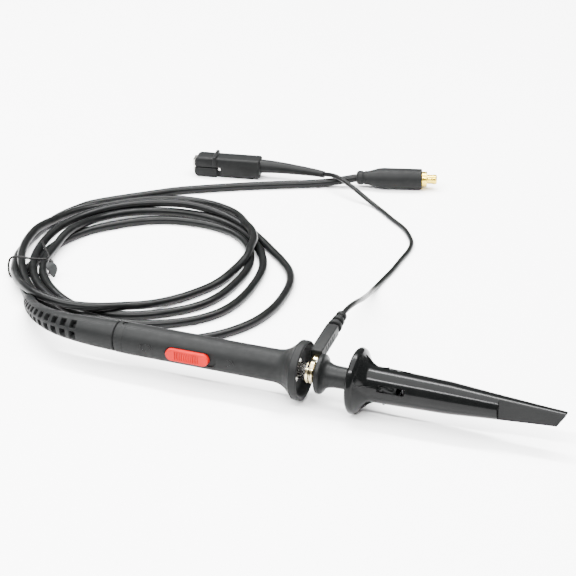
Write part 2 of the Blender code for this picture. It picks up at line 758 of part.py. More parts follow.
def clip_cover_upper(clip):
    """Fixed half of the insulating cover, with its finger ridge and cable tail."""
    side_view = [
        (CLIP_MOUTH_X, CLIP_TOP_Z), (CLIP_REAR_X, CLIP_TOP_Z), (CLIP_REAR_X, -2.4),
        (-2.4, 0.0), (CLIP_MOUTH_X, 0.0)]
    cover = add_part("clip_cover_upper", slab_mesh(side_view, CLIP_WIDTH), BLACK_RUBBER, clip)
    edge = cover.modifiers.new("edge", "BEVEL")
    edge.width = 0.9 * MM
    edge.segments = 1
    ridge = box_cutter("cover_ridge", (1.5, 8.4, 4.4), (-4.6, 0, 3.0), clip)
    tail_points = smooth_path(CLIP_TAIL_PATH, 4.0)
    radii = [2.7 - 1.35 * i / (len(tail_points) - 1) for i in range(len(tail_points))]
    tail = add_cutter("cover_tail", curve_to_mesh(tube_curve(tail_points, 1.0, radii)), clip)
    cavity = box_cutter("cover_cavity", (26.6, 5.6, 8.6), (-0.9, 0, -1.0), clip)
    cut(cover, ridge, tail, operation="UNION")
    cut(cover, cavity)


def clip_cover_lower(lever):
    """Moving half: a wide shell over the jaw and a narrow thumb lever behind the pivot."""
    cover = box("clip_cover_lower", (9.6, CLIP_WIDTH, 3.9), (-8.4, 0, -2.25), BLACK_RUBBER,
                lever, bevel=0.8)
    cavity = box_cutter("lower_cavity", (13.0, 4.6, 3.2), (-9.9, 0, -1.4), lever)
    side_view = [(-4.7, -4.15), (11.2, -4.15), (11.2, -2.9), (-4.7, -1.9)]
    thumb = add_cutter("lever_thumb", slab_mesh(side_view, 5.0), lever)
    channel = box_cutter("lever_channel", (18.0, 3.8, 3.6), (3.8, 0, -1.35), lever)
    cut(cover, cavity)
    cut(cover, thumb, operation="UNION")
    cut(cover, channel)


def jaw(name, frame, half_width, wall, side, length_behind, material):
    """Sheet-metal channel: a roof, two side walls, and ears with a hole for the pin."""
    roof = 2.55 * side
    front = -13.9
    rear = length_behind
    middle = (front + rear) / 2
    inset = 0.05
    part = box(name, (rear - front, 2 * half_width, wall), (middle, 0, roof), material, frame)
    walls = []
    for hand in (1, -1):
        y = hand * (half_width - inset - wall / 2)
        walls.append(box_cutter(f"{name}_wall_{hand}", (11.9, wall, 2.45),
                                (front + inset + 5.95, y, side * 1.45), frame))
        walls.append(box_cutter(f"{name}_ear_{hand}", (3.6, wall, 3.9),
                                (0, y, side * 0.75), frame))
    cut(part, *walls, operation="UNION")
    pin_hole = add_cutter(f"{name}_pin_hole", cylinder_mesh(0.9, 8.0), frame)
    lie_along(pin_hole, "Y")
    cut(part, pin_hole)


def make_clip():
    """Spring clip in its insulating cover, lying on the table with its jaws shut."""
    clip = frame_at("clip_frame", CLIP_PIVOT, CLIP_ANGLE, PROBE)
    lever = frame_at("clip_lever_frame", (0, 0, 0), 0, clip)
    clip_cover_upper(clip)
    clip_cover_lower(lever)
    jaw("clip_jaw_upper", clip, 2.4, 0.4, 1, 12.0, NICKEL)
    jaw("clip_jaw_lower", lever, 1.6, 0.4, -1, 11.0, NICKEL)
    pin = add_part("clip_pivot_pin", cylinder_mesh(0.6, 5.0), STEEL, clip)
    lie_along(pin, "Y")
    turns = 3
    points_per_turn = 9
    coil = []
    for i in range(turns * points_per_turn + 1):
        turn = 2 * math.pi * i / points_per_turn
        coil.append((1.15 * math.cos(turn), -0.75 + 0.5 * i / points_per_turn,
                     1.15 * math.sin(turn)))
    tube("clip_spring", coil, 0.2, STEEL, clip)


# ---------------------------------------------------------------- assembly

clear_scene()
PARTS = make_collection("oscilloscope_probe")
CUTTERS = make_collection("cutters")

BLACK_GRIP = make_material("black_grip", (0.025, 0.026, 0.026), 0.55)
BLACK_RUBBER = make_material("black_rubber", (0.022, 0.022, 0.023), 0.6)
BLACK_CABLE = make_material("black_cable", (0.02, 0.02, 0.021), 0.5)
GLOSS_BLACK = make_material("gloss_black", (0.015, 0.016, 0.017), 0.2)
RED_PLASTIC = make_material("red_plastic", (0.9, 0.06, 0.04), 0.45)
WHITE_PLASTIC = make_material("white_plastic", (0.8, 0.8, 0.78), 0.5)
GREEN_BOARD = make_material("green_board", (0.03, 0.2, 0.07), 0.5)
TAN_CERAMIC = make_material("tan_ceramic", (0.55, 0.4, 0.25), 0.6)
NICKEL = make_material("nickel", (0.72, 0.7, 0.66), 0.25, 1.0)
STEEL = make_material("spring_steel", (0.6, 0.6, 0.6), 0.3, 1.0)
BRASS = make_material("brass", (0.75, 0.55, 0.25), 0.3, 1.0)
COPPER = make_material("copper", (0.75, 0.4, 0.25), 0.35, 1.0)
GOLD = make_material("gold_plate", (0.95, 0.74, 0.35), 0.22, 1.0)

PROBE = bpy.data.objects.new("probe_frame", None)
PARTS.objects.link(PROBE)
PROBE.location = Vector((-ORIGIN_X, -ORIGIN_Y, -TABLE_Z)) * MM
HOOK = frame_at("hook_frame", (0, 0, 0), 0, PROBE)
SLEEVE = frame_at("sleeve_frame", (0, 0, 0), 0, HOOK)

make_grip()
make_rear_collar()
make_switch()
make_circuit()
make_nose()
make_cable_entry()
make_strain_relief()
make_hook_barrel()
make_hook_sleeve()
make_hook_wire()
make_ground_ring()
make_lead_boot()
make_coil()
make_coil_tie()
make_coax()
make_plug()
make_ground_lead()
make_clip()
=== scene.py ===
"""Looks of a passive oscilloscope probe: sprung hook tip, ground lead and coiled coax cable.

Lengths are in millimetres and are turned into metres by MM. Most pieces are placed in the
probe frame: its X axis is the probe's centre line, towards the tip, and its origin is the
middle of the finger guard. The plug, the ground clip and the ground lead's boot have local
frames of their own, each with its X axis along the piece.
"""
import math

import bmesh
import bpy
from mathutils import Matrix, Vector


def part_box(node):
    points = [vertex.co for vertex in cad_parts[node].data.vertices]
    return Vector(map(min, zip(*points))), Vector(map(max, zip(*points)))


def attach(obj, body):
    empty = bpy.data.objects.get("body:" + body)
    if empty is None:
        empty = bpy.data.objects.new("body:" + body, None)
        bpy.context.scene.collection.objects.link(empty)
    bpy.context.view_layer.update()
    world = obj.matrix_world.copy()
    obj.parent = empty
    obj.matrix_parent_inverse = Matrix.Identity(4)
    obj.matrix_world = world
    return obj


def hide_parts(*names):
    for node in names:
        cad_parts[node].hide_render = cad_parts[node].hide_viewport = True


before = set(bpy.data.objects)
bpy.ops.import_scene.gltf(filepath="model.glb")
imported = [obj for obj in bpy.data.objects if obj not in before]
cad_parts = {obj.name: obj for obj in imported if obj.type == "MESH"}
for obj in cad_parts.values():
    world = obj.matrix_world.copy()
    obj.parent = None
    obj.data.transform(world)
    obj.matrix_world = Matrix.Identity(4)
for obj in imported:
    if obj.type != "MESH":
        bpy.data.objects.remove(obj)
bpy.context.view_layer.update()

MM = 0.001
ROUND_STEPS = 96          # facets around a large turned piece
SMALL_STEPS = 48          # and around a small one
FACE_GAP = 0.03           # between two pieces that meet face to face

# Probe, the same driving sizes as the CAD
GRIP_RADIUS = 5.5
BORE_RADIUS = 4.4
GUARD_RADIUS = 10.15
GUARD_HALF_WIDTH = 1.5
SEAM_X = -66.5
COLLAR_END_X = SEAM_X + 3.4
HOOK_FLANGE_RADIUS = 11.2
HOOK_FLANGE_X = 18.0
HOOK_TIP_X = 89.9
TIP_RADIUS = 2.6
TABLE_Z = -HOOK_FLANGE_RADIUS   # the probe lies on its pull flange
COAX_RADIUS = 1.6
LEAD_RADIUS = 0.9
COAX_Z = TABLE_Z + COAX_RADIUS
LEAD_Z = TABLE_Z + LEAD_RADIUS

SLIDER_LENGTH = 15.6
SLIDER_WIDTH = 4.4
SLIDER_X = -39.0
SLIDER_TRAVEL = 2.4
TRIMMER_X = -24.0
MARKS = (("x10", -54.2), ("x1", -23.7))     # the numbers at the two ends of the slider's travel
MARK_SIZE = 3.4
MARK_THICKNESS = 0.1
MARK_TURN = math.radians(7)     # how far the marks are above the slider's middle line

# Strain relief: centre line and radius from the seam to its thin end
BOOT_PATH = [
    (SEAM_X - 0.2, 0, 0, 5.3),
    (-74, 0, 0, 5.0),
    (-82, 0.3, 0, 4.5),
    (-90, 2.2, -0.6, 4.0),
    (-98, 6.6, -1.8, 3.45),
    (-105.4, 13.4, -3.8, 2.95),
    (-111.2, 21.0, -6.3, 2.5),
    (-115.4, 27.8, -8.2, 2.1),
]
BOOT_SLOT_STATIONS = 11
BOOT_SLOT_FIRST = 15.1
BOOT_SLOT_PITCH = 3.8
BOOT_SLOT_LENGTH = 1.9
BOOT_SLOT_HALF_WIDTH = 18.0     # degrees
BOOT_SLOT_DEPTH = 0.46          # as a share of the radius
BOOT_SLOT_ROWS = (137, 188, 317, 8)     # degrees from the far side, over the top

# Coil of coax: radius of its inner and outer edge at every 45 degrees about its centre
COIL_X = -92.0
COIL_Y = 76.0
COIL_HEIGHT = 6.2
COIL_STATION_TURN = 45.0
COIL_INNER = [34.5, 37.0, 31.5, 28.8, 31.0, 37.0, 40.5, 34.0]
COIL_OUTER = [60.8, 50.5, 56.5, 54.5, 49.0, 48.5, 56.0, 69.5]
TIE_ANGLE = 216.0

COAX_LANDING = (-118.2, 31.6, COAX_Z + 0.1)     # where the coax comes down from its boot

# The coax's way round the coil, clockwise from above. Each entry is the angle travelled, the
# lane (0 is the coil's inner edge and 1 its outer edge) and the lift off the table.
COIL_START_ANGLE = 240.0
COIL_POINT_TURN = 9.0           # degrees between two points of the route
COIL_ROUTE = [
    (12, 1.15, 0), (42, 0.28, 0), (75, 0.12, 0), (105, 0.05, 0), (150, 0.07, 0),
    (195, 0.10, 0), (240, 0.18, 0), (285, 0.30, 0), (330, 0.35, 0),
    (366, 0.12, 0.4), (402, 0.02, 1.6), (432, 0.14, 3.2), (465, 0.32, 1.4), (510, 0.41, 0),
    (555, 0.42, 0), (600, 0.44, 0), (645, 0.58, 0), (690, 0.66, 0),
    (726, 0.55, 0.6), (762, 0.46, 1.9), (795, 0.46, 2.9), (825, 0.44, 3.2), (870, 0.46, 3.2),
    (900, 0.55, 1.6), (925, 0.72, 0), (960, 0.98, 0), (1000, 1.00, 0), (1035, 1.10, 0),
    (1056, 1.12, 0), (1085, 1.00, 0.6), (1118, 0.94, 2.6), (1140, 0.90, 3.2), (1164, 0.86, 1.6),
    (1190, 0.86, 0), (1225, 0.93, 0), (1252, 0.82, 1.8), (1275, 0.50, 3.2), (1296, 0.14, 3.1),
    (1320, 0.0, 0.9), (1345, 0.0, 0), (1370, 0.04, 0.3), (1393, 0.13, 1.7), (1405, 0.50, 3.5),
    (1415, 0.90, 4.3), (1423, 1.12, 4.5), (1431, 1.31, 4.5), (1440, 1.42, 4.2),
    (1450, 1.40, 2.6), (1460, 1.31, 1.4), (1474, 1.16, 0.4), (1490, 1.02, 0), (1506, 0.98, 0),
    (1525, 1.02, 0), (1546, 1.04, 0),
]
COAX_TAIL_PATH = [
    (-111.6, 130.6, COAX_Z),
    (-105, 136.0, COAX_Z),
    (-97, 141.0, COAX_Z),
    (-83, 149.0, COAX_Z),
    (-70, 155.6, COAX_Z),
    (-58, 161.2, -9.5),
    (-50, 164.8, -9.0),
    (-44, 167.2, -7.9),
    (-40.4, 168.5, -7.2),
    (-38.4, 169.2, -7.0),
]
LEAD_PATH = [
    (3.65, 28.4, 7.1),
    (3.65, 29.95, 7.3),
    (4.0, 34.5, 7.3),
    (4.2, 41, 6.1),
    (3.5, 50, 3.0),
    (1.4, 60, -1.2),
    (-1.2, 71, -6.0),
    (-2.9, 82, -9.4),
    (-2.7, 92, LEAD_Z),
    (-2.0, 100, LEAD_Z),
    (-1.8, 109, LEAD_Z),
    (-1.5, 119, LEAD_Z),
    (-2.6, 125.5, LEAD_Z),
    (-5.4, 131, LEAD_Z),
    (-9.6, 136.8, LEAD_Z),
    (-16.3, 142.9, LEAD_Z),
    (-24, 150.2, LEAD_Z),
    (-29.8, 154.0, -9.2),
    (-35.3, 156.2, -7.0),
    (-41.2, 159.3, -5.4),
    (-47.0, 162.7, -5.0),
    (-52.5, 165.9, -6.4),
    (-55.0, 166.5, -6.75),
]

PLUG_START = (-40.1, 168.7, -7.0)
PLUG_ANGLE = 17.5
PLUG_FLANGE_X = 28.4
CLIP_PIVOT = (-93.2, 160.9, -7.0)
CLIP_ANGLE = 10.5
CLIP_WIDTH = 7.2
CLIP_MOUTH_X = -13.2
CLIP_REAR_X = 14.0
CLIP_TOP_Z = 4.3
CLIP_TAIL_PATH = [(11, 0, 1.0), (20, 0.2, 0.9), (30, 0, 0.4), (37, -0.9, 0.2), (40.4, -2.2, 0.3)]
LEAD_BOOT_START = (3.65, 3.9, 4.6)
LEAD_BOOT_TILT = 6.0
LEAD_BOOT_LENGTH = 16.0

BLADE_START_X = 67.7
BLADE_HALF_WIDTH = 1.7
BLADE_SLANT = 32.4              # degrees of the blade's end from upright
LATCH_COUNT = 4
LATCH_FIRST = 17                # degrees of the first latch above the near side

# Camera: degrees round the probe from the front and above it, and the width of its view
VIEW_AZIMUTH = 21.0
VIEW_ELEVATION = 27.0
VIEW_DISTANCE = 700.0
VIEW_TARGET = (-8.73, 9.85, 24.2)
VIEW_ANGLE = 15.465

grip_low, grip_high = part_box("grip_shell")
PROBE_ORIGIN = Vector((
    grip_high.x - GUARD_HALF_WIDTH * MM,
    (grip_low.y + grip_high.y) / 2,
    (grip_low.z + grip_high.z) / 2,
))


# ---------------------------------------------------------------- frames

def turn_about(axis, degrees):
    """Turn about one axis of a frame."""
    return Matrix.Rotation(math.radians(degrees), 4, axis)


def shift(point):
    """Move by a distance given in millimetres."""
    return Matrix.Translation(Vector(point) * MM)


PROBE = Matrix.Translation(PROBE_ORIGIN)
PLUG = PROBE @ shift(PLUG_START) @ turn_about("Z", PLUG_ANGLE)
CLIP = PROBE @ shift(CLIP_PIVOT) @ turn_about("Z", CLIP_ANGLE)
LEAD_BOOT = (PROBE @ shift(LEAD_BOOT_START) @ turn_about("X", LEAD_BOOT_TILT)
             @ turn_about("Z", 90))


def in_world(point):
    """A point of the probe frame, in metres in the row frame."""
    return PROBE_ORIGIN + Vector(point) * MM


# ---------------------------------------------------------------- paths and profiles

def spline_value(a, b, c, d, t):
    """Catmull-Rom value between b and c."""
    return 0.5 * (2 * b + (c - a) * t + (2 * a - 5 * b + 4 * c - d) * t ** 2
                  + (3 * b - 3 * c + d - a) * t ** 3)


def smooth_path(points, spacing):
    """Points about one spacing apart on a smooth curve through a list of points."""
    steps_between = 20
    points = [Vector(p) for p in points]
    padded = [2 * points[0] - points[1], *points, 2 * points[-1] - points[-2]]
    dense = []
    for a, b, c, d in zip(padded, padded[1:], padded[2:], padded[3:]):
        dense += [spline_value(a, b, c, d, i / steps_between) for i in range(steps_between)]
    dense.append(points[-1])
    travelled = [0.0]
    for a, b in zip(dense, dense[1:]):
        travelled.append(travelled[-1] + (b - a).length)
    count = max(2, round(travelled[-1] / spacing))
    path = []
    step = 0
    for i in range(count + 1):
        wanted = travelled[-1] * i / count
        while step < len(dense) - 2 and travelled[step + 1] < wanted:
            step += 1
        share = (wanted - travelled[step]) / (travelled[step + 1] - travelled[step])
        path.append(dense[step].lerp(dense[step + 1], share))
    return path


def path_length(points):
    return sum((b - a).length for a, b in zip(points, points[1:]))


def fillet(profile, radius):
    """A profile of (x, r) points with every corner but its two ends rounded."""
    steps = 4
    most_of_leg = 0.45
    points = [Vector(p) for p in profile]
    result = [points[0]]
    for before, corner, after in zip(points, points[1:], points[2:]):
        back = before - corner
        ahead = after - corner
        reach = min(radius, most_of_leg * back.length, most_of_leg * ahead.length)
        start = corner + back.normalized() * reach
        end = corner + ahead.normalized() * reach
        for i in range(steps + 1):
            t = i / steps
            result.append(start.lerp(corner, t).lerp(corner.lerp(end, t), t))
    result.append(points[-1])
    return result


def band_radius(values, angle):
    """Smooth radius at any angle from one value at each of the coil's stations."""
    count = len(values)
    place = (angle / COIL_STATION_TURN) % count
    index = int(place)
    a, b, c, d = (values[(index + k) % count] for k in (-1, 0, 1, 2))
    return spline_value(a, b, c, d, place - index)


def ease(t):
    """0 to 1 with a gentle start and end."""
    return t * t * (3 - 2 * t)


# ---------------------------------------------------------------- mesh building

def to_mesh(name, bm):
    """Turn a bmesh in millimetres into a mesh in metres."""
    bmesh.ops.recalc_face_normals(bm, faces=bm.faces)
    bmesh.ops.scale(bm, vec=(MM, MM, MM), verts=bm.verts)
    mesh = bpy.data.meshes.new(name)
    bm.to_mesh(mesh)
    bm.free()
    return mesh


def shade(piece, angle=32.0):
    """Shade a piece smooth, apart from edges sharper than an angle in degrees."""
    piece.data.shade_smooth()
    piece.data.set_sharp_from_angle(angle=math.radians(angle))


def add_object(name, data, matrix):
    piece = bpy.data.objects.new(name, data)
    bpy.context.scene.collection.objects.link(piece)
    piece.matrix_world = matrix
    return piece


def finish_piece(piece, material, body, slot, *nodes):
    """Give a piece its material, the body it rides on and the CAD nodes it stands for."""
    piece.data.materials.clear()
    piece.data.materials.append(material)
    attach(piece, body)
    if nodes:
        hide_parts(*nodes)
    return piece


def join_rings(bm, rings, closed=False):
    """Skin a list of rings. A ring of one vertex closes the skin in a point."""
    pairs = list(zip(rings, rings[1:]))
    if closed:
        pairs.append((rings[-1], rings[0]))
    for ring, after in pairs:
        count = max(len(ring), len(after))
        for k in range(count):
            corners = [ring[k % len(ring)], ring[(k + 1) % len(ring)],
                       after[(k + 1) % len(after)], after[k % len(after)]]
            bm.faces.new(list(dict.fromkeys(corners)))


def lathe_mesh(profile, steps, closed=False):
    """Turn a profile of (x, r) points about the X axis."""
    on_axis = 0.001
    bm = bmesh.new()
    rings = []
    for x, radius in profile:
        if radius < on_axis:
            rings.append([bm.verts.new((x, 0, 0))])
            continue
        ring = []
        for k in range(steps):
            turn = 2 * math.pi * k / steps
            ring.append(bm.verts.new((x, radius * math.cos(turn), radius * math.sin(turn))))
        rings.append(ring)
    join_rings(bm, rings, closed)
    return to_mesh("turned", bm)


def lathe(name, profile, matrix, rounding, steps=ROUND_STEPS):
    """A turned piece with a bore: its profile runs all the way round its wall."""
    outline = fillet([*profile, profile[0]], rounding)
    outline.pop()
    piece = add_object(name, lathe_mesh(outline, steps, closed=True), matrix)
    shade(piece)
    return piece


def tube_frames(path):
    """Direction, side and up at each point of a path, with no twist between them."""
    frames = []
    up = Vector((0, 0, 1))
    for i in range(len(path)):
        ahead = path[min(i + 1, len(path) - 1)] - path[max(i - 1, 0)]
        forward = ahead.normalized()
        up = (up - forward * forward.dot(up)).normalized()
        frames.append((forward, forward.cross(up), up))
    return frames


def swept_mesh(path, radius_at, sides=32, flatten=1.0):
    """Tube along a path; radius_at gives its radius from the point's index and the angle.

    A tube with flatten below 1 is a strip, thinner upwards than sideways.
    """
    bm = bmesh.new()
    rings = []
    for i, (point, (forward, side, up)) in enumerate(zip(path, tube_frames(path))):
        ring = []
        for k in range(sides):
            turn = 2 * math.pi * k / sides
            radius = radius_at(i, turn)
            outward = side * math.cos(turn) + up * math.sin(turn) * flatten
            ring.append(bm.verts.new(point + outward * radius))
        rings.append(ring)
    rings = [[bm.verts.new(path[0])], *rings, [bm.verts.new(path[-1])]]
    join_rings(bm, rings)
    return to_mesh("swept", bm)


def slab_mesh(outline, thickness, bevel=0.0, segments=4):
    """Slab with an outline of (x, z) points, centred on Y; a bevel rounds its edges."""
    sharp_angle = math.radians(25)
    bm = bmesh.new()
    face = bm.faces.new([bm.verts.new((x, -thickness / 2, z)) for x, z in outline])
    pushed = bmesh.ops.extrude_face_region(bm, geom=[face])
    moved = [v for v in pushed["geom"] if isinstance(v, bmesh.types.BMVert)]
    bmesh.ops.translate(bm, verts=moved, vec=(0, thickness, 0))
    bmesh.ops.recalc_face_normals(bm, faces=bm.faces)
    if bevel:
        sharp = [e for e in bm.edges if e.calc_face_angle(0) > sharp_angle]
        bmesh.ops.bevel(bm, geom=sharp, offset=bevel, segments=segments, profile=0.5,
                        affect="EDGES", clamp_overlap=True)
    return to_mesh("slab", bm)


def block_mesh(low, high, bevel=0.0, segments=3):
    """Block between two corners; a bevel rounds its edges."""
    outline = [(low[0], low[2]), (high[0], low[2]), (high[0], high[2]), (low[0], high[2])]
    mesh = slab_mesh(outline, high[1] - low[1], bevel, segments)
    mesh.transform(Matrix.Translation((0, (low[1] + high[1]) / 2 * MM, 0)))
    return mesh


def stadium_outline(length, width):
    """Outline of a bar with round ends, as (x, z) points."""
    bend_steps = 20
    half = (length - width) / 2
    outline = []
    for side in (1, -1):
        for i in range(bend_steps + 1):
            turn = math.pi * i / bend_steps - math.pi / 2
            outline.append((side * (half + width / 2 * math.cos(turn)),
                            side * width / 2 * math.sin(turn)))
    return outline


def combine(piece, tools, operation):
    """Cut tool meshes from a piece or add them to it, and keep the result as its mesh."""
    helpers = []
    for mesh, matrix in tools:
        helper = add_object("helper", mesh, matrix)
        helpers.append(helper)
        boolean = piece.modifiers.new("boolean", "BOOLEAN")
        boolean.operation = operation
        boolean.solver = "EXACT"
        boolean.object = helper
    depsgraph = bpy.context.evaluated_depsgraph_get()
    mesh = bpy.data.meshes.new_from_object(piece.evaluated_get(depsgraph))
    piece.modifiers.clear()
    piece.data = mesh
    for helper in helpers:
        bpy.data.objects.remove(helper, do_unlink=True)
    shade(piece)
    return piece


# ---------------------------------------------------------------- materials

# Sizes of what shows on a surface, in millimetres
MOTTLE_SIZE = 5.0
SHEEN_SIZE = 2.2
TARNISH_SIZE = 1.6
TOOL_MARK_SIZE = 0.5
SCRATCH_SIZE = 0.35
SCRATCH_HEIGHT = 0.004

# The middle part of a noise's range, over which a colour or a roughness changes
COLOUR_SPAN = (0.35, 0.65)
ROUGHNESS_SPAN = (0.3, 0.7)


def shader_of(material):
    return material.node_tree.nodes["Principled BSDF"]


def base_material(name, roughness, metallic=0.0, **sockets):
    material = bpy.data.materials.new(name)
    material.use_nodes = True
    shader = shader_of(material)
    shader.inputs["Roughness"].default_value = roughness
    shader.inputs["Metallic"].default_value = metallic
    for socket, value in sockets.items():
        shader.inputs[socket.replace("_", " ")].default_value = value
    return material


def add_noise(material, size, detail=4.0):
    """Noise whose features are about the given size in millimetres."""
    tree = material.node_tree
    place = tree.nodes.new("ShaderNodeTexCoord")
    noise = tree.nodes.new("ShaderNodeTexNoise")
    noise.inputs["Scale"].default_value = 1 / (size * MM)
    noise.inputs["Detail"].default_value = detail
    tree.links.new(place.outputs["Object"], noise.inputs["Vector"])
    return noise.outputs["Fac"]


def vary_colour(material, fac, dark, light):
    """Blend between two near colours along a noise."""
    tree = material.node_tree
    ramp = tree.nodes.new("ShaderNodeValToRGB")
    for element, position, colour in zip(ramp.color_ramp.elements, COLOUR_SPAN, (dark, light)):
        element.position = position
        element.color = (*colour, 1)
    tree.links.new(fac, ramp.inputs["Fac"])
    tree.links.new(ramp.outputs["Color"], shader_of(material).inputs["Base Color"])


def vary_roughness(material, fac, roughness):
    """Let the roughness wander between its two values along a noise."""
    tree = material.node_tree
    ranged = tree.nodes.new("ShaderNodeMapRange")
    ranged.inputs["From Min"].default_value = ROUGHNESS_SPAN[0]
    ranged.inputs["From Max"].default_value = ROUGHNESS_SPAN[1]
    ranged.inputs["To Min"].default_value = roughness[0]
    ranged.inputs["To Max"].default_value = roughness[1]
    tree.links.new(fac, ranged.inputs["Value"])
    tree.links.new(ranged.outputs["Result"], shader_of(material).inputs["Roughness"])


def add_bump(material, fac, height):
    """Raise the surface by a noise; height is in millimetres."""
    tree = material.node_tree
    bump = tree.nodes.new("ShaderNodeBump")
    bump.inputs["Distance"].default_value = height * MM
    bump.inputs["Strength"].default_value = 1.0
    tree.links.new(fac, bump.inputs["Height"])
    tree.links.new(bump.outputs["Normal"], shader_of(material).inputs["Normal"])


def moulded(name, dark, light, roughness, grain, height, **sockets):
    """Moulded plastic or rubber: spark-eroded grain, uneven sheen and slight mottling."""
    material = base_material(name, roughness[0], **sockets)
    vary_colour(material, add_noise(material, MOTTLE_SIZE), dark, light)
    vary_roughness(material, add_noise(material, SHEEN_SIZE), roughness)
    add_bump(material, add_noise(material, grain, detail=2.0), height)
    return material


def metal(name, dark, light, roughness):
    """Plated or drawn metal with faint tool marks and tarnish."""
    material = base_material(name, roughness[0], metallic=1.0)
    vary_colour(material, add_noise(material, TARNISH_SIZE), dark, light)
    vary_roughness(material, add_noise(material, TOOL_MARK_SIZE), roughness)
    add_bump(material, add_noise(material, SCRATCH_SIZE), SCRATCH_HEIGHT)
    return material


# ---------------------------------------------------------------- stage

def make_camera():
    """Camera that looks down on the probe from its front, a little towards the tip."""
    azimuth = math.radians(VIEW_AZIMUTH)
    elevation = math.radians(VIEW_ELEVATION)
    back = Vector((math.sin(azimuth) * math.cos(elevation),
                   -math.cos(azimuth) * math.cos(elevation), math.sin(elevation)))
    camera = bpy.data.cameras.new("camera")
    camera.lens = camera.sensor_width / 2 / math.tan(math.radians(VIEW_ANGLE) / 2)
    camera.clip_start = 0.05
    camera.clip_end = 20
    piece = add_object("camera", camera, Matrix.Identity(4))
    piece.location = in_world(VIEW_TARGET) + back * VIEW_DISTANCE * MM
    piece.rotation_euler = (-back).to_track_quat("-Z", "Y").to_euler()
    bpy.context.scene.camera = piece


def make_floor():
    """Pale sheet of paper that reaches past every view."""
    reach = 6.0
    bm = bmesh.new()
    bmesh.ops.create_grid(bm, x_segments=1, y_segments=1, size=reach)
    mesh = bpy.data.meshes.new("floor")
    bm.to_mesh(mesh)
    bm.free()
    floor = add_object("floor", mesh, Matrix.Identity(4))
    material = base_material("floor_paper", 0.9)
    vary_colour(material, add_noise(material, 300.0), (0.9, 0.9, 0.9), (0.93, 0.93, 0.93))
    mesh.materials.append(material)


def add_softbox(name, place, size, power):
    """Rectangular light, level along the probe, that faces the X axis of the row frame.

    Its place and size are in metres and its power in watts.
    """
    light = bpy.data.lights.new(name, "AREA")
    light.shape = "RECTANGLE"
    light.size = size[0]
    light.size_y = size[1]
    light.energy = power
    lamp = add_object(name, light, Matrix.Identity(4))
    lamp.location = place
    facing = Vector((0, -place[1], -place[2]))
    lamp.rotation_euler = facing.to_track_quat("-Z", "Y").to_euler()


def make_lights():
    """White surroundings, a large softbox overhead and two strips for long highlights."""
    world = bpy.data.worlds.new("studio")
    world.use_nodes = True
    world.node_tree.nodes["Background"].inputs["Color"].default_value = (1, 1, 1, 1)
    world.node_tree.nodes["Background"].inputs["Strength"].default_value = 0.4
    bpy.context.scene.world = world
    add_softbox("overhead", (-0.1, 0.1, 1.3), (2.4, 1.6), 125)
    add_softbox("front_strip", (-0.25, -0.5, 0.72), (1.5, 0.08), 40)
    add_softbox("back_strip", (-0.25, 0.355, 0.86), (1.5, 0.08), 40)


# ---------------------------------------------------------------- cords

def add_cord(name, path, radius, material):
    """A round cord as a curve, from a path in the probe frame."""
    curve = bpy.data.curves.new(name, "CURVE")
    curve.dimensions = "3D"
    curve.bevel_depth = radius * MM
    curve.bevel_resolution = 6
    curve.use_fill_caps = True
    spline = curve.splines.new("POLY")
    spline.points.add(len(path) - 1)
    for point, place in zip(spline.points, path):
        point.co = (*(Vector(place) * MM), 1.0)
    spline.use_smooth = True
    cord = add_object(name, curve, PROBE)
    curve.materials.append(material)
    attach(cord, "probe")
    return cord


def on_table(path, radius):
    """Lift a path where its smooth curve would dip into the table."""
    for point in path:
        point.z = max(point.z, TABLE_Z + radius)
    return path


def coil_point(travelled, lane, lift):
    """One point of the coil's route, from an entry of COIL_ROUTE."""
    angle = COIL_START_ANGLE - travelled
    inner = band_radius(COIL_INNER, angle) + COAX_RADIUS
    outer = band_radius(COIL_OUTER, angle) - COAX_RADIUS
    radius = inner + lane * (outer - inner)
    turn = math.radians(angle)
    return Vector((COIL_X + radius * math.cos(turn), COIL_Y + radius * math.sin(turn),
                   COAX_Z + lift))


def coil_path():
    """Points at nearly even angles round all the turns of the coil."""
    path = []
    for (start, lane_a, lift_a), (end, lane_b, lift_b) in zip(COIL_ROUTE, COIL_ROUTE[1:]):
        steps = max(1, round((end - start) / COIL_POINT_TURN))
        for i in range(steps):
            t = i / steps
            mix = ease(t)
            path.append(coil_point(start + (end - start) * t, lane_a + (lane_b - lane_a) * mix,
                                   lift_a + (lift_b - lift_a) * mix))
    path.append(coil_point(*COIL_ROUTE[-1]))
    return path


def make_coax():
    """The whole coax in one cord: out of the boot, round the coil and into the plug."""
    boot_spacing = 2.0
    spacing = 2.5
    boot_end = smooth_path([p[:3] for p in BOOT_PATH], boot_spacing)[-2:]
    route = [*boot_end, COAX_LANDING, *coil_path(), *COAX_TAIL_PATH]
    path = on_table(smooth_path(route, spacing), COAX_RADIUS)
    coax = add_cord("coax_cable", path, COAX_RADIUS, CABLE)
    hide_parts("coax_start", "coax_coil", "coax_tail")


def make_ground_lead():
    """The thin wire from the ring clip's boot, over the coax and into the clip's tail."""
    spacing = 2.0
    path = on_table(smooth_path(LEAD_PATH, spacing), LEAD_RADIUS)
    lead = add_cord("ground_wire", path, LEAD_RADIUS, CABLE)
    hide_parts("ground_lead")


# ---------------------------------------------------------------- grip

